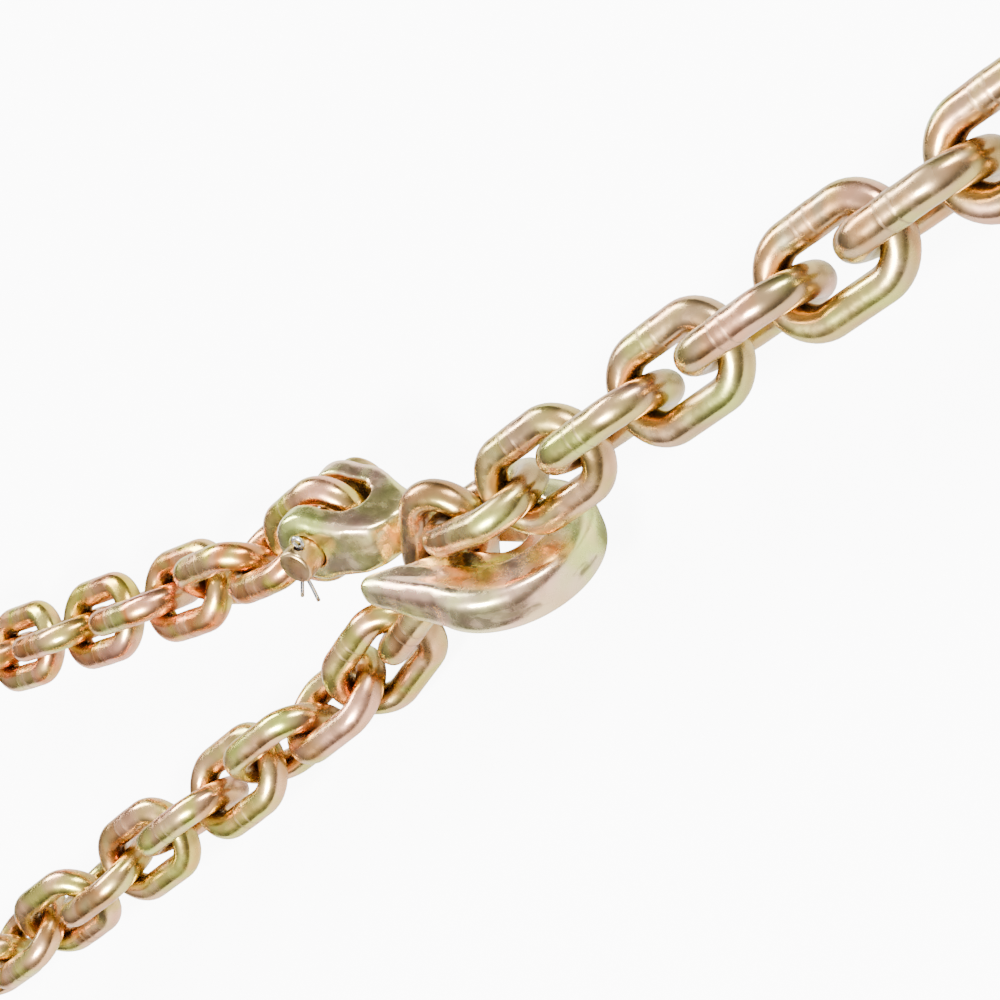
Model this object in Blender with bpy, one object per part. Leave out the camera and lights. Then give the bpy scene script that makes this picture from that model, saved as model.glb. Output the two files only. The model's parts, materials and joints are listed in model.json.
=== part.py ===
"""Load binder chain: a clevis grab hook choked onto its own chain.

Metres, +Z up, the chain lying on the floor at z = 0.  The first hook is the root.
Three runs of links leave it: the pin run (clevis pin), the load run and the tail run
(both from the link that the hook's slot grips).  The load run ends in a second hook.
"""
import math

import bmesh
import bpy
from mathutils import Matrix, Vector

MM = 0.001

# chain link, 3/8 inch grade 70
WIRE = 10.0
LINK_INSIDE = 31.2  # inside length
LINK_WIDTH = 33.4  # over both limbs
PITCH = 30.55  # centre to centre, leaves 0.65 between two bars
WELD_BULGE = 1.05
END = (LINK_INSIDE + WIRE) / 2  # link centre to the centre of its end bar
NEAR = PITCH - END  # link centre to the centre of its neighbour's end bar

# clevis grab hook, measured from the clevis pin's axis
HOOK_THICK = 15.0
HOOK_EDGE = 3.0  # rounding of the plate's edges
WEB_THICK = 7.6  # recessed web round the slot
BEND_AT = (78.0, -14.0)
BEND_R = 29.5
SLOT_Y = -11.0
SLOT_R = 5.8
SLOT_END_X = 77.0
RECESS_R = 15.5
EAR_R = 13.0
EAR_OUT = 16.5  # half the width over both ears
JAW_R = 7.7  # half the jaw's gap
JAW_X = 10.5
BORE_R = 6.3
GRIP_X = 53.5  # where the gripped link stands in the slot
GRIP_TILT = 23.0

# clevis pin and cotter
PIN_R = 6.0
PIN_END = 24.5
HEAD_R = 9.5
HEAD_FROM, HEAD_TO = 16.9, 20.9
COTTER_Y = -20.3
COTTER_HOLE_R = 1.75
COTTER_R = 0.65

# where the first hook's pin is, and which way its shank and its pin point
HOOK_AT = (108.4, 48.0, 29.8)
SHANK_DIR = (0.851, -0.459, -0.256)
PIN_DIR = (0.146, 0.675, -0.723)
ORIGIN = (181.09, 42.90, -6.19)  # moved to the row's origin

COLLECTION = "load_binder_chain"
CUTTERS = "cutters"


def heading(turn, climb):
    """Unit vector from a heading about +Z and a climb above the floor, in degrees."""
    turn, climb = math.radians(turn), math.radians(climb)
    flat = math.cos(climb)
    return Vector((math.cos(turn) * flat, math.sin(turn) * flat, math.sin(climb)))


def side_of(along, twist):
    """Normal of a link that runs along a direction, twisted from the upright."""
    up = Vector((0, 0, 1))
    up = (up - along * along.dot(up)).normalized()
    turn = math.radians(twist)
    return up * math.cos(turn) + along.cross(up) * math.sin(turn)


def frame(at, x, z):
    """Placement with its X along x and its Z as near to z as it can be."""
    x = x.normalized()
    z = (z - x * x.dot(z)).normalized()
    y = z.cross(x)
    place = Matrix((x, y, z)).transposed().to_4x4()
    place.translation = (at - Vector(ORIGIN)) * MM
    return place


def arc(cx, cy, r, start, stop, steps):
    """Points on an arc, in degrees, both ends included."""
    turns = [math.radians(start + (stop - start) * i / steps) for i in range(steps + 1)]
    return [(cx + r * math.cos(t), cy + r * math.sin(t)) for t in turns]


def collection(name, hidden=False):
    made = bpy.data.collections.new(name)
    made.hide_render = hidden
    bpy.context.scene.collection.children.link(made)
    return made


def material(name, colour, roughness, metallic):
    made = bpy.data.materials.new(name)
    made.use_nodes = True
    shader = made.node_tree.nodes["Principled BSDF"]
    shader.inputs["Base Color"].default_value = (*colour, 1)
    shader.inputs["Roughness"].default_value = roughness
    shader.inputs["Metallic"].default_value = metallic
    return made


def to_mesh(name, curve, group):
    """The solid that a curve makes, as a mesh object."""
    guide = bpy.data.objects.new(name + "_guide", curve)
    group.objects.link(guide)
    bpy.context.view_layer.update()
    seen = guide.evaluated_get(bpy.context.evaluated_depsgraph_get())
    mesh = bpy.data.meshes.new_from_object(seen)
    mesh.name = name
    bpy.data.objects.remove(guide)
    mend(mesh)
    made = bpy.data.objects.new(name, mesh)
    group.objects.link(made)
    return made


def mend(mesh):
    """Weld what meets, and turn every face outwards."""
    solid = bmesh.new()
    solid.from_mesh(mesh)
    bmesh.ops.remove_doubles(solid, verts=solid.verts, dist=0.00001)
    bmesh.ops.recalc_face_normals(solid, faces=solid.faces)
    solid.to_mesh(mesh)
    solid.free()


def plate(name, outline, thick, edge, group, steps=2):
    """A flat plate in XY with rounded edges, centred on z = 0."""
    curve = bpy.data.curves.new(name, "CURVE")
    curve.dimensions = "2D"
    curve.fill_mode = "BOTH"
    curve.extrude = (thick / 2 - edge) * MM
    curve.bevel_depth = edge * MM
    curve.bevel_resolution = steps
    curve.offset = -edge * MM
    line = curve.splines.new("POLY")
    line.points.add(len(outline) - 1)
    for point, (x, y) in zip(line.points, outline):
        point.co = (x * MM, y * MM, 0, 1)
    line.use_cyclic_u = True
    return to_mesh(name, curve, group)


def wire(name, path, r, sides, closed, group):
    """A round wire along (x, y, z, swell) points."""
    curve = bpy.data.curves.new(name, "CURVE")
    curve.dimensions = "3D"
    curve.bevel_depth = r * MM
    curve.bevel_resolution = (sides - 4) // 2
    curve.use_fill_caps = not closed
    line = curve.splines.new("POLY")
    line.points.add(len(path) - 1)
    for point, (x, y, z, swell) in zip(line.points, path):
        point.co = (x * MM, y * MM, z * MM, 1)
        point.radius = swell
    line.use_cyclic_u = closed
    return to_mesh(name, curve, group)


def cylinder(name, r, low, high, sides, group):
    """A cylinder along Y."""
    solid = bmesh.new()
    turned = Matrix.Rotation(math.radians(-90), 4, "X")
    place = Matrix.Translation((0, (low + high) / 2 * MM, 0)) @ turned
    bmesh.ops.create_cone(
        solid, cap_ends=True, segments=sides, radius1=r * MM, radius2=r * MM,
        depth=(high - low) * MM, matrix=place,
    )
    mesh = bpy.data.meshes.new(name)
    solid.to_mesh(mesh)
    solid.free()
    made = bpy.data.objects.new(name, mesh)
    group.objects.link(made)
    return made


def combine(target, operation, others):
    """Apply exact booleans to a mesh object, in order."""
    for other in others:
        step = target.modifiers.new(operation.lower(), "BOOLEAN")
        step.operation = operation
        step.solver = "EXACT"
        step.object = other
        other.display_type = "WIRE"
        other.hide_render = True
    bpy.context.view_layer.update()
    seen = target.evaluated_get(bpy.context.evaluated_depsgraph_get())
    mesh = bpy.data.meshes.new_from_object(seen)
    target.modifiers.clear()
    target.data = mesh
    mend(mesh)
    return target


def finish(thing, name, place, paint, group):
    """Name, place, colour and smooth one sub-part."""
    for old in list(thing.users_collection):
        old.objects.unlink(thing)
    group.objects.link(thing)
    thing.name = name
    thing.data.name = name
    thing.matrix_world = place
    thing.data.materials.clear()
    thing.data.materials.append(paint)
    thing.data.set_sharp_from_angle(angle=math.radians(35))
    for face in thing.data.polygons:
        face.use_smooth = True
    return thing


def link_solid(pivot, group):
    """One welded link along X, its centre at x = pivot, lying in XY."""
    r = (LINK_WIDTH - WIRE) / 2
    straight = END - r
    path = [(x + pivot, y, 0, 1) for x, y in arc(straight, 0, r, -90, 90, 8)]
    path += [(1.8 + pivot, r, 0, 1), (pivot, r, 0, WELD_BULGE), (pivot - 1.8, r, 0, 1)]
    path += [(x + pivot, y, 0, 1) for x, y in arc(-straight, 0, r, 90, 270, 8)]
    return wire("link", path, WIRE / 2, 8, True, group)


def hook_outline():
    """The hook plate seen face on: shank, bend, tip, and the open slot between."""
    bx, by = BEND_AT
    upper, lower = SLOT_Y + SLOT_R, SLOT_Y - SLOT_R
    shank_top = [(12, 10.5), (22, 9.5), (32, 8.3), (42, 8.3), (51, 9.3)]
    bend = arc(bx, by, BEND_R, 122, -112, 26)
    tip = [(55, -39.6), (45, -37.4)] + arc(37.2, -32.4, 3.8, 260, 110, 5)
    mouth = [(42.5, -26.4), (49, -21.8), (54, -18.4), (60, lower)]
    slot = arc(SLOT_END_X, SLOT_Y, SLOT_R, -90, 90, 8)
    shank_low = arc(32, upper - 3.4, 3.4, 90, 180, 3) + [(27, -13.6), (21, -15.2)]
    return shank_top + bend + tip + mouth + slot + shank_low + [(12, -14.0)]


def hook_solid(group):
    """Clevis ears, neck, shank, bend and tip as one forging."""
    body = plate("hook_plate", hook_outline(), HOOK_THICK, HOOK_EDGE, group)
    for point in body.data.vertices:  # the tip tapers in thickness
        x, y = point.co.x / MM, point.co.y / MM
        if y < SLOT_Y - SLOT_R + 1 and x < 62:
            point.co.z *= 1 - 0.34 * (62 - x) / 28
    side = arc(0, 0, EAR_R, 62, 298, 20)
    side += [(19, -9.6), (26, -7.9), (32, -6.6), (32, 6.6), (26, 7.9), (19, 9.6)]
    ears = plate("ears", side, 2 * EAR_OUT, 3.0, group)
    for point in ears.data.vertices:  # the profile lies in XZ
        x, y, z = point.co
        point.co = (x, -z, y)
    width = [(-16, -17.5), (9, -17.5), (15, -16.5), (21, -15.2), (27, -13.0), (31, -8.0)]
    width += [(31, 7.0), (27, 8.8), (21, 11.5), (15, 14.5), (9, 17.5), (-16, 17.5)]
    waist = plate("waist", width, 30, 0.5, group, 0)
    combine(ears, "INTERSECT", [waist])
    jaw = plate("jaw", [(-20, -JAW_R)] + arc(JAW_X, 0, JAW_R, -90, 90, 10)
                + [(-20, JAW_R)], 34, 0.0, group)
    bore = cylinder("bore", BORE_R, -30, 30, 24, group)
    cutters = [jaw, bore]
    ends = arc(SLOT_END_X, SLOT_Y, RECESS_R, -90, 90, 14)
    ends += arc(46, SLOT_Y, RECESS_R, 90, 270, 14)
    for sign in (1, -1):
        recess = plate("recess", ends, 8, 0.0, group)
        shift = sign * (WEB_THICK / 2 + 4) * MM
        for point in recess.data.vertices:
            point.co.z += shift
        cutters.append(recess)
    combine(body, "UNION", [ears])
    combine(body, "DIFFERENCE", cutters)
    return body


def pin_solid(group):
    """Headed clevis pin along Y with a cross hole for the cotter."""
    lathe = [(0, -PIN_END), (PIN_R - 1.2, -PIN_END), (PIN_R, -PIN_END + 1.2)]
    lathe += [(PIN_R, HEAD_FROM), (HEAD_R - 0.6, HEAD_FROM), (HEAD_R, HEAD_FROM + 0.6)]
    lathe += [(HEAD_R, HEAD_TO - 1.2), (HEAD_R - 1.2, HEAD_TO), (0, HEAD_TO)]
    sides = 24
    solid = bmesh.new()
    rings = []
    for r, y in lathe[1:-1]:
        rings.append([
            solid.verts.new((r * MM * math.cos(t), y * MM, r * MM * math.sin(t)))
            for t in (2 * math.pi * i / sides for i in range(sides))
        ])
    for low, high in zip(rings, rings[1:]):
        for i in range(sides):
            j = (i + 1) % sides
            solid.faces.new((low[i], low[j], high[j], high[i]))
    solid.faces.new(rings[0])
    solid.faces.new(rings[-1])
    mesh = bpy.data.meshes.new("pin")
    solid.to_mesh(mesh)
    solid.free()
    mend(mesh)
    pin = bpy.data.objects.new("pin", mesh)
    group.objects.link(pin)
    hole = cylinder("cotter_hole", COTTER_HOLE_R, -9, 9, 12, group)
    for point in hole.data.vertices:  # across the pin, along Z
        x, y, z = point.co
        point.co = (x, z + COTTER_Y * MM, y)
    mend(hole.data)
    return combine(pin, "DIFFERENCE", [hole])


def cotter_solid(group):
    """Split pin down -Z: an eye on top, two legs splayed below."""
    half = COTTER_R + 0.07
    eye = [(x, z) for x, z in arc(0, 8.0, 1.75, -65, 245, 10)]
    line = [(3.9, -16.6), (2.4, -11.5), (half, -7.0), (half, 6.0)] + eye
    line += [(-half, 6.0), (-half, -7.0), (-1.5, -11.5), (-2.3, -17.0)]
    path = [(x, COTTER_Y, z, 1) for x, z in line]
    return wire("cotter", path, COTTER_R, 8, False, group)


def walk(start, steps, along):
    """Link centres and directions; each step is a heading, from one end bar on."""
    centres = []
    at = start
    for turn, climb in steps:
        step = heading(turn, climb)
        at = at + along * NEAR + step * END if along is not None else at + step * END
        centres.append((at.copy(), step))
        along = step
    return centres


def steady(turn, climb, d_turn, d_climb, count):
    """Headings that drift evenly from link to link."""
    return [(turn + d_turn * i, climb + d_climb * i) for i in range(count)]


def pin_run(hook_at, shank, normal, pin_axis):
    """Links that hang on the clevis pin: name, centre, direction, normal."""
    tilt = math.radians(30)
    first = -shank * math.cos(tilt) - normal * math.sin(tilt)
    centre = hook_at + first * (LINK_INSIDE / 2 - PIN_R - 0.3)
    steps = [(165.5, -3.5), (165, -3.5)] + steady(164.5, 0.5, -0.3, -0.2, 7)
    centres = [(centre, first)] + walk(centre, steps, first)
    twists = [None, 34.5, 106] + [-2.5, 70] * 3 + [-2.5]
    return name_links("pin_run", centres, twists, {0: pin_axis})


def load_run(grip_at, grip):
    """Links from the gripped link to the second hook."""
    steps = [(-15.5, 5.5)] + steady(-3.5, 0.5, -0.1, -0.1, 8) + [(-4, -12), (-3, -16)]
    centres = walk(grip_at, steps, grip)
    twists = [-49, 36.5] + [109, 21.5] * 3 + [109, 9, 91]
    return name_links("load_run", centres, twists, {})


def tail_run(grip_at, grip):
    """Links from the gripped link to the free end."""
    steps = [(186, -8), (191, -3)] + steady(181.5, 3, -0.2, 0, 10)
    centres = walk(grip_at, steps, -grip)
    twists = [44, 118.5, 202.5] + [275 + 78.4 * i for i in range(9)]
    return name_links("tail_run", centres, twists, {})


def name_links(run, centres, twists, fixed):
    links = []
    for i, ((at, along), twist) in enumerate(zip(centres, twists)):
        normal = fixed[i] if i in fixed else side_of(along, twist)
        links.append((f"{run}_link_{i + 1:02d}", at, along, normal))
    return links


def build():
    for thing in list(bpy.data.objects):
        bpy.data.objects.remove(thing)
    scene = bpy.context.scene
    scene.unit_settings.system = "METRIC"
    scene.unit_settings.scale_length = 1.0
    group, tools = collection(COLLECTION), collection(CUTTERS, hidden=True)

    gold = material("zinc_link", (0.62, 0.52, 0.36), 0.34, 1.0)
    forged = material("zinc_hook", (0.70, 0.64, 0.46), 0.36, 1.0)
    olive = material("zinc_pin", (0.58, 0.52, 0.34), 0.40, 1.0)
    bright = material("bright_zinc", (0.78, 0.79, 0.80), 0.25, 1.0)

    def clevis_set(prefix, at, shank, pin_axis, turn):
        """Hook, pin and cotter at one clevis, the pin turned so far round."""
        place = frame(at, shank, shank.cross(pin_axis))
        finish(hook_solid(tools), prefix + "_hook", place, forged, group)
        turned = place @ Matrix.Rotation(math.radians(turn), 4, "Y")
        finish(pin_solid(tools), prefix + "_clevis_pin", turned, olive, group)
        finish(cotter_solid(tools), prefix + "_cotter", turned, bright, group)
        return place

    shank = Vector(SHANK_DIR).normalized()
    pin_axis = Vector(PIN_DIR)
    pin_axis = (pin_axis - shank * shank.dot(pin_axis)).normalized()
    normal = shank.cross(pin_axis)
    hook_at = Vector(HOOK_AT)
    clevis_set("grab", hook_at, shank, pin_axis, 20)

    tilt = math.radians(GRIP_TILT)
    grip = shank * math.sin(tilt) + normal * math.cos(tilt)
    grip_at = hook_at + shank * GRIP_X + pin_axis * SLOT_Y
    centred = link_solid(0.0, tools)
    finish(centred, "gripped_link", frame(grip_at, grip, pin_axis), gold, group)

    load = load_run(grip_at, grip)
    runs = (
        (pin_run(hook_at, shank, normal, pin_axis), NEAR),
        (load, END),
        (tail_run(grip_at, grip), END),
    )
    for links, pivot in runs:
        for i, (name, at, along, side) in enumerate(links):
            # the link that sits on the pin turns about the pin itself
            arm = LINK_INSIDE / 2 - PIN_R - 0.3 if (pivot == NEAR and i == 0) else pivot
            solid = link_solid(arm, tools)
            finish(solid, name, frame(at - along * arm, along, side), gold, group)

    name, at, along, side = load[-1]
    far_at = at + along * (LINK_INSIDE / 2 - PIN_R - 0.3)
    far_axis = side if side.y > 0 else -side
    far_shank = heading(-2, -4)
    far_shank = (far_shank - far_axis * far_axis.dot(far_shank)).normalized()
    clevis_set("far", far_at, far_shank, far_axis, -12)

    for thing in list(tools.objects):
        thing.display_type = "WIRE"
        thing.hide_render = True


build()
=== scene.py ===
"""Load binder chain: looks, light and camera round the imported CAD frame."""
import json
import math

import bmesh
import bpy
import numpy as np
from mathutils import Matrix, Vector


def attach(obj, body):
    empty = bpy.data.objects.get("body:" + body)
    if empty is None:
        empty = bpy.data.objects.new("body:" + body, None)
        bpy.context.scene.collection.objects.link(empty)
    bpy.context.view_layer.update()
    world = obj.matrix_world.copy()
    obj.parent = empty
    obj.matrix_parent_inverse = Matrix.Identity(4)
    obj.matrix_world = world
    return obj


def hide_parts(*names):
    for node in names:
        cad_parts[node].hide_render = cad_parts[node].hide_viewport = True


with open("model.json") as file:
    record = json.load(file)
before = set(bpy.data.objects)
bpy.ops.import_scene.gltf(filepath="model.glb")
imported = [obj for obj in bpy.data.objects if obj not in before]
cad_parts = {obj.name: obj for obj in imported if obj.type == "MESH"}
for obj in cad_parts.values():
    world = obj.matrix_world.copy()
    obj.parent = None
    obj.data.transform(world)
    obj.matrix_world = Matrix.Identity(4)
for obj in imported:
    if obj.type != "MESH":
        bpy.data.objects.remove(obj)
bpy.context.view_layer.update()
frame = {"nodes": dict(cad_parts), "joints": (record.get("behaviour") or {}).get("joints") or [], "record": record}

MM = 0.001

# sizes shared with the CAD, in millimetres
WIRE = 10.0
LINK_INSIDE = 31.2
LINK_WIDTH = 33.4
END = (LINK_INSIDE + WIRE) / 2
HOOK_THICK = 15.0
WEB_THICK = 7.6
BEND_AT = (78.0, -14.0)
BEND_R = 29.5
SLOT_Y = -11.0
SLOT_R = 5.8
SLOT_END_X = 77.0
RECESS_R = 15.5
EAR_R = 13.0
EAR_OUT = 16.5
JAW_R = 7.7
JAW_X = 10.5
BORE_R = 6.3
PIN_R = 6.0
PIN_END = 24.5
HEAD_R = 9.5
HEAD_FROM, HEAD_TO = 16.9, 20.9
COTTER_Y = -20.3
COTTER_HOLE_R = 1.75
COTTER_R = 0.65
PIN_TURN = {"grab": 20.0, "far": -12.0}

# the butt weld's two seams stand this far from the middle of its limb
SEAM = 2.3

# the stage, in metres, and how far the floor is lifted to white for the camera
FLOOR_HALF = 40.0
FLOOR_BELOW = 0.0005
FLOOR_LIFT = 9.0

# the photo's camera: lens in millimetres, place in metres, pan, tilt and roll in degrees
CAMERA_LENS = 85.3
CAMERA_AT = (0.47481, -0.29900, 0.46659)
CAMERA_TURNS = (60.16, 51.516, -87.24)

# how finely round things are drawn; voxels in metres
LINK_SIDES = 28
PIN_SIDES = 64
COTTER_SIDES = 16
VOXEL, QUICK_VOXEL = 0.00055, 0.00085

# where each chain runs from, for the plating's shade
WARM = {"pin_run": 1.0, "tail_run": 0.62, "load_run": 0.22, "gripped": 0.25}


# ---------------------------------------------------------------- small tools

def arc(cx, cy, r, start, stop, steps):
    turns = [math.radians(start + (stop - start) * i / steps) for i in range(steps + 1)]
    return [(cx + r * math.cos(t), cy + r * math.sin(t)) for t in turns]


def new_object(name, mesh, place):
    made = bpy.data.objects.new(name, mesh)
    bpy.context.scene.collection.objects.link(made)
    made.matrix_world = place
    return made


def smooth(thing, angle=None):
    for face in thing.data.polygons:
        face.use_smooth = True
    if angle is not None:
        thing.data.set_sharp_from_angle(angle=math.radians(angle))


def mend(mesh):
    solid = bmesh.new()
    solid.from_mesh(mesh)
    bmesh.ops.remove_doubles(solid, verts=solid.verts, dist=0.000005)
    bmesh.ops.recalc_face_normals(solid, faces=solid.faces)
    solid.to_mesh(mesh)
    solid.free()


def from_curve(name, curve):
    guide = bpy.data.objects.new(name, curve)
    bpy.context.scene.collection.objects.link(guide)
    bpy.context.view_layer.update()
    seen = guide.evaluated_get(bpy.context.evaluated_depsgraph_get())
    mesh = bpy.data.meshes.new_from_object(seen)
    bpy.data.objects.remove(guide)
    mend(mesh)
    return mesh


def plate(name, outline, thick, edge, steps=6):
    curve = bpy.data.curves.new(name, "CURVE")
    curve.dimensions = "2D"
    curve.fill_mode = "BOTH"
    curve.extrude = (thick / 2 - edge) * MM
    curve.bevel_depth = edge * MM
    curve.bevel_resolution = steps
    curve.offset = -edge * MM
    line = curve.splines.new("POLY")
    line.points.add(len(outline) - 1)
    for point, (x, y) in zip(line.points, outline):
        point.co = (x * MM, y * MM, 0, 1)
    line.use_cyclic_u = True
    return new_object(name, from_curve(name, curve), Matrix.Identity(4))


def cylinder(name, r, low, high, sides):
    solid = bmesh.new()
    turned = Matrix.Rotation(math.radians(-90), 4, "X")
    place = Matrix.Translation((0, (low + high) / 2 * MM, 0)) @ turned
    bmesh.ops.create_cone(
        solid, cap_ends=True, segments=sides, radius1=r * MM, radius2=r * MM,
        depth=(high - low) * MM, matrix=place,
    )
    mesh = bpy.data.meshes.new(name)
    solid.to_mesh(mesh)
    solid.free()
    return new_object(name, mesh, Matrix.Identity(4))


def apply_all(thing):
    bpy.context.view_layer.update()
    seen = thing.evaluated_get(bpy.context.evaluated_depsgraph_get())
    mesh = bpy.data.meshes.new_from_object(seen)
    thing.modifiers.clear()
    thing.data = mesh


def boolean(target, operation, others):
    for other in others:
        step = target.modifiers.new(operation.lower(), "BOOLEAN")
        step.operation = operation
        step.solver = "EXACT"
        step.object = other
    apply_all(target)
    for other in others:
        bpy.data.objects.remove(other)
    mend(target.data)


# ---------------------------------------------------------------- meshes

def loft(name, rings, closed):
    """Skin over rings of points, joined end to end or capped."""
    solid = bmesh.new()
    made = [[solid.verts.new(spot) for spot in ring] for ring in rings]
    after = made[1:] + made[:1] if closed else made[1:]
    for low, high in zip(made, after):
        for j in range(len(low)):
            k = (j + 1) % len(low)
            solid.faces.new((low[j], low[k], high[k], high[j]))
    if not closed:
        solid.faces.new(made[0])
        solid.faces.new(made[-1])
    bmesh.ops.recalc_face_normals(solid, faces=solid.faces)
    mesh = bpy.data.meshes.new(name)
    solid.to_mesh(mesh)
    solid.free()
    return mesh


def tube(name, path, radii, sides, closed, up):
    """Round bar along points of a plane that has up as its normal, a radius at each."""
    points = [Vector(p) * MM for p in path]
    rings = []
    for i, at in enumerate(points):
        if closed:
            along = points[(i + 1) % len(points)] - points[i - 1]
        else:
            along = points[min(i + 1, len(points) - 1)] - points[max(i - 1, 0)]
        side = along.normalized().cross(up)
        turns = [2 * math.pi * j / sides for j in range(sides)]
        rings.append([at + (up * math.cos(t) + side * math.sin(t)) * radii[i] * MM
                      for t in turns])
    return loft(name, rings, closed)


def link_mesh():
    """One welded link in XY, centred, its butt weld in the middle of the +Y limb."""
    r = (LINK_WIDTH - WIRE) / 2
    straight = END - r
    path, radii = [], []

    def put(x, y, swell=1.0):
        path.append((x, y, 0))
        radii.append(WIRE / 2 * swell)

    for x, y in arc(straight, 0, r, -90, 90, 24):
        put(x, y)
    steps = [8.0, 6.6, 5.2, 4.2, 3.3, 2.7, 2.3, 1.9, 1.5, 1.1, 0.7, 0.3]
    for x in steps + [-s for s in reversed(steps)]:
        hump = 0.020 * math.exp(-((abs(x) / 3.2) ** 2))
        ridge = 0.009 * math.exp(-(((abs(x) - SEAM) / 0.42) ** 2))
        put(x, r, 1.0 + hump + ridge)
    for x, y in arc(-straight, 0, r, 90, 270, 24):
        put(x, y)
    for x in (-5.9, -3.0, 0.0, 3.0, 5.9):
        put(x, -r)
    return tube("link", path, radii, LINK_SIDES, True, Vector((0, 0, 1)))


def hook_outline():
    bx, by = BEND_AT
    upper, lower = SLOT_Y + SLOT_R, SLOT_Y - SLOT_R
    shank_top = [(12, 10.5), (22, 9.5), (32, 8.3), (42, 8.3), (51, 9.3)]
    bend = arc(bx, by, BEND_R, 122, -112, 60)
    tip = [(55, -39.6), (45, -37.4)] + arc(37.2, -32.4, 3.8, 260, 110, 12)
    mouth = [(42.5, -26.4), (49, -21.8), (54, -18.4), (60, lower)]
    slot = arc(SLOT_END_X, SLOT_Y, SLOT_R, -90, 90, 24)
    shank_low = arc(32, upper - 3.4, 3.4, 90, 180, 8) + [(27, -13.6), (21, -15.2)]
    return shank_top + bend + tip + mouth + slot + shank_low + [(12, -14.0)]


def hook_mesh():
    """The forged hook: crowned plate, recessed web, clevis ears, softened all over."""
    body = plate("hook_plate", hook_outline(), HOOK_THICK, 4.2)
    for point in body.data.vertices:
        x, y = point.co.x / MM, point.co.y / MM
        if y < SLOT_Y - SLOT_R + 1 and x < 62:
            point.co.z *= 1 - 0.34 * (62 - x) / 28
    side = arc(0, 0, EAR_R, 62, 298, 48)
    side += [(19, -9.6), (26, -7.9), (32, -6.6), (32, 6.6), (26, 7.9), (19, 9.6)]
    ears = plate("ears", side, 2 * EAR_OUT, 3.4)
    for point in ears.data.vertices:
        x, y, z = point.co
        point.co = (x, -z, y)
    width = [(-16, -17.5), (9, -17.5), (15, -16.5), (21, -15.2), (27, -13.0), (31, -8.0)]
    width += [(31, 7.0), (27, 8.8), (21, 11.5), (15, 14.5), (9, 17.5), (-16, 17.5)]
    waist = plate("waist", width, 30, 0.5, 0)
    boolean(ears, "INTERSECT", [waist])
    gap = [(-20, -JAW_R)] + arc(JAW_X, 0, JAW_R, -90, 90, 24) + [(-20, JAW_R)]
    jaw = plate("jaw", gap, 34, 0.0, 0)
    bore = cylinder("bore", BORE_R, -30, 30, 48)
    cutters = [jaw, bore]
    ends = arc(SLOT_END_X, SLOT_Y, RECESS_R, -90, 90, 40)
    ends += arc(46, SLOT_Y, RECESS_R, 90, 270, 40)
    for sign in (1, -1):
        recess = plate("recess", ends, 8, 0.0, 0)
        for point in recess.data.vertices:
            point.co.z += sign * (WEB_THICK / 2 + 4) * MM
        cutters.append(recess)
    boolean(body, "UNION", [ears])
    boolean(body, "DIFFERENCE", cutters)
    remesh = body.modifiers.new("remesh", "REMESH")
    remesh.mode = "VOXEL"
    remesh.voxel_size = VOXEL
    remesh.use_smooth_shade = True
    apply_all(body)
    # dressed smooth all over, most at the neck where the ears run into the shank
    neck = body.vertex_groups.new(name="neck")
    for point in body.data.vertices:
        away = abs(point.co.x / MM - 30)
        if away < 11:
            neck.add([point.index], 1 - (away / 11) ** 2, "REPLACE")
    scale = 1.0
    for group, rounds in (("", 26), ("neck", 70)):
        soften = body.modifiers.new("soften", "SMOOTH")
        soften.factor = 0.5
        soften.iterations = int(rounds * scale)
        soften.vertex_group = group
    apply_all(body)
    mesh = body.data
    bpy.data.objects.remove(body)
    return mesh


def pin_mesh():
    """Headed clevis pin along Y, its edges rounded, with the cotter's cross hole."""
    lathe = [(0.6, -PIN_END), (3.2, -PIN_END + 0.02), (4.6, -PIN_END + 0.1)]
    lathe += arc(PIN_R - 1.2, -PIN_END + 1.25, 1.2, -80, 0, 5)
    lathe += [(PIN_R, -PIN_END + 3), (PIN_R, 0), (PIN_R, HEAD_FROM - 0.3)]
    lathe += [(PIN_R + 0.4, HEAD_FROM), (HEAD_R - 0.7, HEAD_FROM)]
    lathe += arc(HEAD_R - 0.6, HEAD_FROM + 0.6, 0.6, -90, 0, 4)
    lathe += arc(HEAD_R - 1.4, HEAD_TO - 1.4, 1.4, 0, 85, 6)
    lathe += [(6.0, HEAD_TO), (0.6, HEAD_TO)]
    turns = [2 * math.pi * i / PIN_SIDES for i in range(PIN_SIDES)]
    rings = [[Vector((r * math.cos(t), y, r * math.sin(t))) * MM for t in turns]
             for r, y in lathe]
    mesh = loft("pin", rings, False)
    pin = new_object("pin_shape", mesh, Matrix.Identity(4))
    hole = cylinder("cotter_hole", COTTER_HOLE_R, -9, 9, 24)
    for point in hole.data.vertices:
        x, y, z = point.co
        point.co = (x, z + COTTER_Y * MM, y)
    mend(hole.data)
    boolean(pin, "DIFFERENCE", [hole])
    mesh = pin.data
    bpy.data.objects.remove(pin)
    return mesh


def cotter_mesh():
    """Split pin: round eye above, two half-round legs splayed below."""
    half = COTTER_R + 0.07
    line = [(3.9, -16.6), (3.2, -14.2), (2.4, -11.5), (1.5, -9.0), (half, -7.0)]
    line += [(half, -3.0), (half, 2.0), (half, 5.4)]
    line += arc(0, 8.0, 1.75, -62, 242, 26)
    line += [(-half, 5.4), (-half, 2.0), (-half, -3.0), (-half, -7.0)]
    line += [(-1.1, -9.2), (-1.5, -11.5), (-1.9, -14.4), (-2.3, -17.0)]
    path = [(x, COTTER_Y, z) for x, z in line]
    radii = [COTTER_R] * len(path)
    return tube("cotter", path, radii, COTTER_SIDES, False, Vector((0, 1, 0)))


# ---------------------------------------------------------------- placements

def corners(node):
    return np.array([v.co for v in frame["nodes"][node].data.vertices], float)


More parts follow.
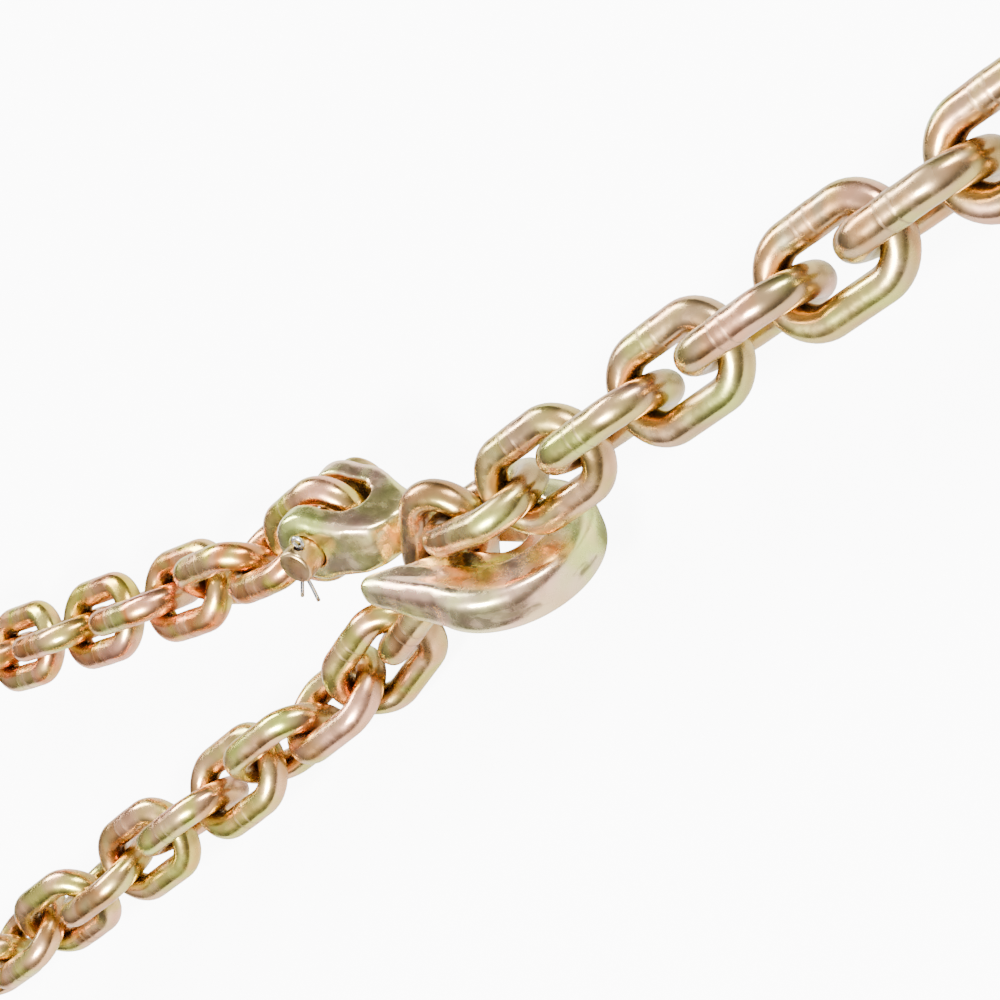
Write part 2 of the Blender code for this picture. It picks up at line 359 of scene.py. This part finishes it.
def placement(x, y, z, at):
    place = Matrix((x, y, z)).transposed().to_4x4()
    place.translation = at
    return place


def link_place(node):
    """Where a CAD link lies: X along it, Z square to it, its weld on +Y."""
    points = corners(node)
    points = np.unique(np.round(points, 7), axis=0)
    middle = points.mean(axis=0)
    _, axes = np.linalg.eigh(np.cov((points - middle).T))
    x, y = Vector(axes[:, 2]), Vector(axes[:, 1])
    along = (points - middle) @ np.array(x)
    across = (points - middle) @ np.array(y)
    if across.max() > -across.min():  # the weld side is nearer to the mean
        y = -y
        across = -across
    z = x.cross(y).normalized()
    up = (points - middle) @ np.array(z)
    centre = Vector(middle) + x * float(along.max() + along.min()) / 2
    centre += z * float(up.max() + up.min()) / 2
    centre += y * (float(across.min()) + LINK_WIDTH / 2 * MM)
    return placement(x, y, z, centre)


def hook_place(prefix):
    """Where a clevis is: Y along its pin, X along its shank."""
    turn = next(j for j in frame["joints"] if j["name"] == prefix + "_pin_turn")
    y = Vector(turn["axis"]).normalized()
    if prefix == "grab":  # its shank lies along the slide of the link it grips
        slide = next(j for j in frame["joints"] if j["name"] == "grip_slide")
        x = Vector(slide["axis"]).normalized()
        z = x.cross(y)
    else:
        web = next(m for m in frame["record"]["mounts"] if m["name"] == "far_hook_web")
        z = Vector(web["axis"]).normalized()
        x = y.cross(z)
    return placement(x, y, z, Vector(turn["pos_m"]))


# ---------------------------------------------------------------- materials

class Nodes:
    """Short way to write a node tree."""

    def __init__(self, material):
        material.use_nodes = True
        self.tree = material.node_tree
        self.shader = self.tree.nodes["Principled BSDF"]

    def add(self, kind, **values):
        made = self.tree.nodes.new(kind)
        for key, value in values.items():
            setattr(made, key, value)
        return made

    def join(self, out, into):
        self.tree.links.new(out, into)

    def feed(self, socket, value):
        if isinstance(value, (int, float, tuple)):
            socket.default_value = value
        else:
            self.join(value, socket)

    def noise(self, scale, detail, rough=0.5, place=None, stretch=None, warp=0.0):
        where = place
        if stretch is not None:
            mapping = self.add("ShaderNodeMapping")
            mapping.inputs["Scale"].default_value = stretch
            self.join(place, mapping.inputs["Vector"])
            where = mapping.outputs["Vector"]
        made = self.add("ShaderNodeTexNoise")
        made.inputs["Scale"].default_value = scale
        made.inputs["Detail"].default_value = detail
        made.inputs["Roughness"].default_value = rough
        made.inputs["Distortion"].default_value = warp
        self.join(where, made.inputs["Vector"])
        return made.outputs["Fac"]

    def ramp(self, value, stops):
        made = self.add("ShaderNodeValToRGB")
        made.color_ramp.interpolation = "EASE"
        line = made.color_ramp.elements
        while len(line) < len(stops):
            line.new(0.5)
        for spot, (at, colour) in zip(line, stops):
            spot.position = at
            spot.color = (*colour, 1) if len(colour) == 3 else colour
        self.join(value, made.inputs["Fac"])
        return made.outputs["Color"]

    def math(self, operation, a, b=0.0, clamp=False):
        made = self.add("ShaderNodeMath", operation=operation, use_clamp=clamp)
        self.feed(made.inputs[0], a)
        self.feed(made.inputs[1], b)
        return made.outputs[0]

    def span(self, value, low, high, to_low=0.0, to_high=1.0):
        made = self.add("ShaderNodeMapRange", interpolation_type="SMOOTHSTEP")
        self.feed(made.inputs["Value"], value)
        made.inputs["From Min"].default_value = low
        made.inputs["From Max"].default_value = high
        made.inputs["To Min"].default_value = to_low
        made.inputs["To Max"].default_value = to_high
        return made.outputs["Result"]

    def mix(self, factor, a, b, blend="MIX"):
        made = self.add("ShaderNodeMix", data_type="RGBA", blend_type=blend)
        self.feed(made.inputs[0], factor)
        self.feed(made.inputs[6], a if not isinstance(a, tuple) else (*a, 1))
        self.feed(made.inputs[7], b if not isinstance(b, tuple) else (*b, 1))
        return made.outputs[2]


def zinc(name, warm, shades, rough, spots, local=None):
    """Yellow chromate on zinc: pale gold that drifts through pink, green and straw."""
    paint = bpy.data.materials.new(name)
    n = Nodes(paint)
    place = n.add("ShaderNodeAttribute", attribute_name="local").outputs["Vector"]
    at = n.add("ShaderNodeAttribute", attribute_name="grain").outputs["Vector"]

    drift = n.noise(42, 2, 0.45, at, warp=0.3)
    tone = n.ramp(drift, shades)
    green = n.span(n.noise(48, 1, 0.4, at, (1, 1, 1.6), 0.4), 0.46, 0.74)
    tone = n.mix(n.math("MULTIPLY", green, 0.55), tone, (0.60, 0.76, 0.14))
    pink = n.span(n.noise(36, 1, 0.4, at, (1.5, 1, 1), 0.3), 0.46, 0.72)
    tone = n.mix(n.math("MULTIPLY", pink, 0.42 + 0.2 * warm), tone, (0.96, 0.48, 0.36))
    orange = n.span(n.noise(75, 2, 0.5, at, None, 0.2), 0.56 - 0.06 * warm, 0.84)
    tone = n.mix(n.math("MULTIPLY", orange, 0.2 + 0.45 * warm), tone, (0.76, 0.34, 0.06))
    speck = n.span(n.noise(1300, 3, 0.6, at), 0.60, 0.75)
    speck = n.math("MULTIPLY", speck, n.span(n.noise(110, 2, 0.5, at), 0.45, 0.65))
    tone = n.mix(n.math("MULTIPLY", speck, spots), tone, (0.20, 0.13, 0.06))

    rub = n.span(n.noise(180, 3, 0.6, at), 0.30, 0.75, rough - 0.06, rough + 0.09)
    height = n.math("MULTIPLY", n.noise(600, 4, 0.55, at), 0.45)
    dents = n.span(n.noise(105, 2, 0.4, at), 0.15, 0.45)
    height = n.math("ADD", height, n.math("MULTIPLY", dents, 0.3))
    if local is not None:
        tone, rub, height = local(n, place, at, tone, rub, height)
    n.join(tone, n.shader.inputs["Base Color"])
    n.join(rub, n.shader.inputs["Roughness"])
    n.shader.inputs["Metallic"].default_value = 1.0
    bump = n.add("ShaderNodeBump")
    bump.inputs["Strength"].default_value = 0.3
    bump.inputs["Distance"].default_value = 0.00016
    n.join(height, bump.inputs["Height"])
    n.join(bump.outputs["Normal"], n.shader.inputs["Normal"])
    return paint


def split_axes(n, place):
    parts = n.add("ShaderNodeSeparateXYZ")
    n.join(place, parts.inputs[0])
    return parts.outputs


def link_details(warm):
    """Painted shade at the crowns where links bear on each other and along the inside of the limbs, and the weld's
    seams.
    """
    def add(n, place, at, tone, rub, height):
        x, y, z = split_axes(n, place)
        out = n.math("ABSOLUTE", x)
        dx = n.math("SUBTRACT", out, (END - WIRE / 2) * MM)
        far = n.math("ADD", n.math("MULTIPLY", dx, dx), n.math("MULTIPLY", y, y))
        far = n.math("SQRT", n.math("ADD", far, n.math("MULTIPLY", z, z)))
        # painted shade: brown darkening at each crown, where the next link bears on it
        crown = n.span(far, 0.0092, 0.0046)
        ragged_crown_shade = n.math("MULTIPLY", crown, n.span(n.noise(120, 2, 0.5, at), 0.15, 0.6))
        tone = n.mix(n.math("MULTIPLY", ragged_crown_shade, 0.6 + 0.25 * warm), tone,
                     (0.40, 0.15, 0.02) if warm > 0.5 else (0.27, 0.17, 0.03))
        # painted shade: darker along the inside of the limbs, round the link's hole
        inner_shade = n.span(n.math("ABSOLUTE", y), 0.0098, 0.0068)
        inner_shade = n.math("MULTIPLY", inner_shade, n.span(n.noise(90, 2, 0.5, at), 0.2, 0.6))
        tone = n.mix(n.math("MULTIPLY", inner_shade, 0.55), tone, (0.26, 0.15, 0.05))
        seam = n.math("SUBTRACT", out, SEAM * MM)
        seam = n.span(n.math("ABSOLUTE", seam), 0.0007, 0.0001)
        upper = n.span(y, 0.004, 0.006)
        seam = n.math("MULTIPLY", seam, upper)
        seam = n.math("MULTIPLY", seam, n.span(n.noise(500, 3, 0.6, at), 0.3, 0.6))
        tone = n.mix(n.math("MULTIPLY", seam, 0.7), tone, (0.30, 0.20, 0.12))
        rub = n.math("ADD", rub, n.math("MULTIPLY", seam, 0.2))
        return tone, rub, height
    return add


def hook_details(n, place, at, tone, rub, height):
    """Trimmed flash line round the forging, and painted shade in the slot and the jaw."""
    x, y, z = split_axes(n, place)
    depth = n.math("ABSOLUTE", z)
    bx, by = BEND_AT
    dx = n.math("SUBTRACT", x, bx * MM)
    dy = n.math("SUBTRACT", y, by * MM)
    reach = n.math("SQRT", n.math("ADD", n.math("MULTIPLY", dx, dx),
                                  n.math("MULTIPLY", dy, dy)))
    rim = n.span(reach, 0.0275, 0.0285)
    below = n.span(y, -0.0335, -0.0365)
    edge = n.math("MAXIMUM", rim, below)
    line = n.span(depth, 0.0026, 0.0010)
    torn = n.span(n.noise(70, 3, 0.6, at, (1, 1, 2.5)), 0.50, 0.66)
    flash = n.math("MULTIPLY", n.math("MULTIPLY", edge, line), torn)
    tone = n.mix(n.math("MULTIPLY", flash, 0.8), tone, (0.14, 0.11, 0.05))
    rub = n.math("ADD", rub, n.math("MULTIPLY", flash, 0.25))
    height = n.math("SUBTRACT", n.math("MULTIPLY", height, 0.3),
                    n.math("MULTIPLY", flash, 0.6))

    # painted shade: darker walls inside the slot
    sy = n.math("SUBTRACT", y, SLOT_Y * MM)
    wall = n.span(n.math("ABSOLUTE", sy), 0.0078, 0.0058)
    slot_shade = n.math("MULTIPLY", wall, n.span(x, 0.040, 0.050))
    slot_shade = n.math("MULTIPLY", slot_shade, n.span(x, 0.0865, 0.0830))
    slot_shade = n.math("MULTIPLY", slot_shade, n.span(n.noise(90, 2, 0.5, at), 0.2, 0.6))
    tone = n.mix(n.math("MULTIPLY", slot_shade, 0.8), tone, (0.42, 0.21, 0.07))
    # painted shade: darker metal in the jaw between the clevis ears
    jaw = n.span(n.math("ABSOLUTE", y), 0.0084, 0.0074)
    jaw = n.math("MULTIPLY", jaw, n.span(x, 0.0190, 0.0170))
    jaw = n.math("MULTIPLY", jaw, n.span(n.noise(180, 3, 0.6, at), 0.2, 0.6))
    tone = n.mix(n.math("MULTIPLY", jaw, 0.6), tone, (0.38, 0.22, 0.08))
    return tone, rub, height


PALE = [(0.26, (0.78, 0.44, 0.12)), (0.40, (0.66, 0.56, 0.12)), (0.52, (0.88, 0.50, 0.24)),
        (0.62, (0.62, 0.30, 0.10)), (0.76, (0.60, 0.52, 0.24))]
GREY = [(0.26, (0.62, 0.40, 0.15)), (0.40, (0.66, 0.50, 0.16)), (0.52, (0.58, 0.38, 0.19)),
        (0.62, (0.66, 0.34, 0.13)), (0.76, (0.56, 0.48, 0.30))]
RICH = [(0.26, (0.84, 0.44, 0.07)), (0.40, (0.76, 0.60, 0.07)), (0.52, (0.94, 0.44, 0.20)),
        (0.62, (0.78, 0.28, 0.07)), (0.76, (0.66, 0.62, 0.14))]
SATIN = [(0.26, (0.96, 0.82, 0.28)), (0.40, (0.84, 0.90, 0.26)), (0.52, (1.00, 0.80, 0.46)),
         (0.62, (1.00, 0.68, 0.46)), (0.76, (0.88, 0.92, 0.36))]


def bright_zinc():
    paint = bpy.data.materials.new("bright_zinc")
    n = Nodes(paint)
    place = n.add("ShaderNodeAttribute", attribute_name="grain").outputs["Vector"]
    tone = n.ramp(n.noise(300, 3, 0.5, place),
                  [(0.3, (0.62, 0.64, 0.67)), (0.7, (0.86, 0.87, 0.88))])
    n.join(tone, n.shader.inputs["Base Color"])
    n.shader.inputs["Metallic"].default_value = 1.0
    n.join(n.span(n.noise(800, 3, 0.5, place), 0.3, 0.7, 0.18, 0.32),
           n.shader.inputs["Roughness"])
    return paint


# ---------------------------------------------------------------- the object

def put(name, mesh, place, body, node, paint, slot, seed=0):
    """One visible piece, in place, that remembers its own axes for its material."""
    count = len(mesh.vertices)
    points = np.empty(count * 3, np.float32)
    mesh.vertices.foreach_get("co", points)
    local = mesh.attributes.new("local", "FLOAT_VECTOR", "POINT")
    local.data.foreach_set("vector", points)
    grain = mesh.attributes.new("grain", "FLOAT_VECTOR", "POINT")
    shift = np.array([0.137 * seed, -0.091 * seed, 0.173 * seed], np.float32)
    grain.data.foreach_set("vector", (points.reshape(-1, 3) + shift).ravel())
    mesh.transform(place)
    mesh.materials.clear()
    mesh.materials.append(paint)
    piece = new_object(name, mesh, Matrix.Identity(4))
    smooth(piece)
    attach(piece, body)
    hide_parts(node)
    return piece


def run_of(node):
    return "gripped" if node.startswith("gripped") else node.rsplit("_link", 1)[0]


def dress():
    body_of = {}
    for body, nodes in frame["record"]["behaviour"]["bodies"].items():
        for node in nodes:
            body_of[node] = body
    shape = link_mesh()
    links = sorted(n for n in frame["nodes"] if "link" in n)
    paints = {}
    for i, node in enumerate(links):
        run = run_of(node)
        if run not in paints:
            warm = WARM[run]
            shades = RICH if warm > 0.8 else PALE if warm > 0.5 else GREY
            paints[run] = zinc("zinc_" + run, warm, shades, 0.25, 0.14, link_details(warm))
        put("bar_" + node, shape.copy(), link_place(node), body_of[node], node,
            paints[run], "zinc_link", i + 1)
    hook = hook_mesh()
    pin = pin_mesh()
    cotter = cotter_mesh()
    forged = zinc("zinc_forged", 0.0, SATIN, 0.25, 0.08, hook_details)
    olive = zinc("zinc_olive", 0.1, GREY, 0.30, 0.2)
    silver = bright_zinc()
    for prefix in ("grab", "far"):
        place = hook_place(prefix)
        put(prefix + "_hook_forging", hook.copy(), place, prefix + "_hook",
            prefix + "_hook", forged, "zinc_hook", 5 if prefix == "grab" else 9)
        turned = place @ Matrix.Rotation(math.radians(PIN_TURN[prefix]), 4, "Y")
        made = put(prefix + "_pin_turned", pin.copy(), turned, prefix + "_pin",
                   prefix + "_clevis_pin", olive, "zinc_pin")
        made.data.set_sharp_from_angle(angle=math.radians(40))
        put(prefix + "_split_pin", cotter.copy(), turned, prefix + "_pin",
            prefix + "_cotter", silver, "bright_zinc")


# ---------------------------------------------------------------- stage

def stage():
    floor_paint = bpy.data.materials.new("floor")
    n = Nodes(floor_paint)
    n.shader.inputs["Base Color"].default_value = (0.45, 0.45, 0.45, 1)
    n.shader.inputs["Roughness"].default_value = 0.9
    n.shader.inputs["Specular IOR Level"].default_value = 0.1
    n.shader.inputs["Emission Color"].default_value = (1, 1, 1, 1)
    # lifts the backdrop to white for the picture only, and throws no light on the metal
    seen = n.add("ShaderNodeLightPath").outputs["Is Camera Ray"]
    n.join(n.math("MULTIPLY", seen, FLOOR_LIFT), n.shader.inputs["Emission Strength"])
    solid = bmesh.new()
    bmesh.ops.create_grid(solid, x_segments=1, y_segments=1, size=FLOOR_HALF)
    mesh = bpy.data.meshes.new("floor")
    solid.to_mesh(mesh)
    solid.free()
    mesh.materials.append(floor_paint)
    floor = new_object("floor", mesh, Matrix.Translation((0, 0, -FLOOR_BELOW)))

    world = bpy.data.worlds.new("studio")
    world.use_nodes = True
    tree = world.node_tree
    back = tree.nodes["Background"]
    where = tree.nodes.new("ShaderNodeTexCoord")
    parts = tree.nodes.new("ShaderNodeSeparateXYZ")
    ramp = tree.nodes.new("ShaderNodeValToRGB")
    line = ramp.color_ramp.elements
    line[0].position, line[0].color = 0.0, (0.02, 0.02, 0.018, 1)
    line[1].position, line[1].color = 0.85, (1.0, 1.0, 1.0, 1)
    middle = line.new(0.40)
    middle.color = (0.28, 0.28, 0.28, 1)
    tree.links.new(where.outputs["Generated"], parts.inputs[0])
    tree.links.new(parts.outputs[2], ramp.inputs["Fac"])
    tree.links.new(ramp.outputs["Color"], back.inputs["Color"])
    back.inputs["Strength"].default_value = 1.25
    bpy.context.scene.world = world

    def soft_light(name, at, aim, size, power):
        lamp = bpy.data.lights.new(name, "AREA")
        lamp.shape = "RECTANGLE"
        lamp.size, lamp.size_y = size
        lamp.energy = power
        made = bpy.data.objects.new(name, lamp)
        bpy.context.scene.collection.objects.link(made)
        made.location = at
        look = (Vector(aim) - Vector(at)).to_track_quat("-Z", "Y")
        made.rotation_euler = look.to_euler()

    soft_light("key", (-0.3, -0.9, 1.5), (0, 0, 0), (0.6, 0.4), 110)
    soft_light("fill", (1.3, 0.7, 1.1), (0, 0, 0), (0.4, 0.7), 40)
    soft_light("back", (-0.8, 1.3, 1.0), (0, 0, 0), (1.2, 0.3), 45)


def camera():
    """Rolled camera above the chain, looking along the loaded run from its far end."""
    lens = bpy.data.cameras.new("camera")
    lens.sensor_width = 36.0
    lens.lens = CAMERA_LENS
    lens.clip_start, lens.clip_end = 0.01, 30
    seen = bpy.data.objects.new("camera", lens)
    bpy.context.scene.collection.objects.link(seen)
    pan, tilt, roll = (math.radians(turn) for turn in CAMERA_TURNS)
    turned = Matrix.Rotation(pan, 4, "Z") @ Matrix.Rotation(tilt, 4, "X")
    turned = turned @ Matrix.Rotation(roll, 4, "Z")
    seen.matrix_world = Matrix.Translation(CAMERA_AT) @ turned
    bpy.context.scene.camera = seen


dress()
stage()
camera()

bpy.context.view_layer.update()
